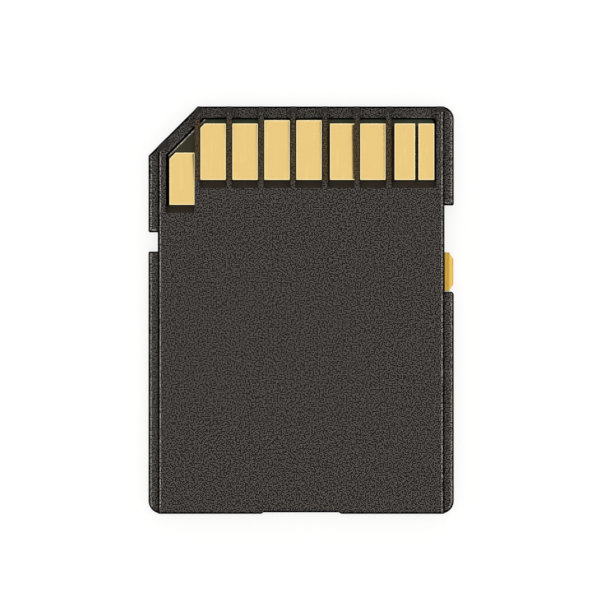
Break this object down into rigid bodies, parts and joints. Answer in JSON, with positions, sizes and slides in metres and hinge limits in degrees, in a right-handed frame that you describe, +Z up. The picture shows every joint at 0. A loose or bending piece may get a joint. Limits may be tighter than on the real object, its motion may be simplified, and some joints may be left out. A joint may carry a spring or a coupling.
{
  "type": "flash memory card",
  "caption": "Thin plastic flash memory card with a cut corner, gold contacts behind moulded ribs, a side notch and a sliding write-protect switch.",
  "frame": {"origin": "middle of the label face, the lowest face of the card", "axes": "+Y towards the contact edge, +Z up out of the contact side, +X towards the write-protect switch"},
  "size_m": [0.024, 0.032, 0.0021],
  "materials": {
    "shell_plastic": "dark grey moulded plastic with a fine spark-eroded texture",
    "switch_plastic": "smooth yellow moulded plastic",
    "board_laminate": "dark green solder mask on a laminated board",
    "contact_gold": "gold plating, lightly streaked along the contact",
    "package_resin": "black moulding resin",
    "lead_tin": "tin-plated lead frame",
    "capacitor_ceramic": "tan ceramic",
    "resistor_ceramic": "dark glazed ceramic"
  },
  "bodies": {
    "card": {"front_cover": "shell_plastic", "rear_cover": "shell_plastic", "circuit_board": "board_laminate", "contact_pad_1": "contact_gold", "contact_pad_2": "contact_gold", "contact_pad_3": "contact_gold", "contact_pad_4": "contact_gold", "contact_pad_5": "contact_gold", "contact_pad_6": "contact_gold", "contact_pad_7": "contact_gold", "contact_pad_8": "contact_gold", "contact_pad_9": "contact_gold", "controller_chip": "package_resin", "flash_memory_chip": "package_resin", "flash_memory_leads": "lead_tin", "capacitor_1": "capacitor_ceramic", "capacitor_2": "capacitor_ceramic", "capacitor_3": "capacitor_ceramic", "capacitor_4": "capacitor_ceramic", "resistor_1": "resistor_ceramic", "resistor_2": "resistor_ceramic", "resistor_3": "resistor_ceramic", "resistor_4": "resistor_ceramic"},
    "slider": {"write_protect_slider": "switch_plastic"}
  },
  "joints": [
    {"name": "write_protect_slide", "type": "slide", "parent": "card", "child": "slider", "axis": [0, 1, 0], "range_m": [0, 0.00367]}
  ]
}
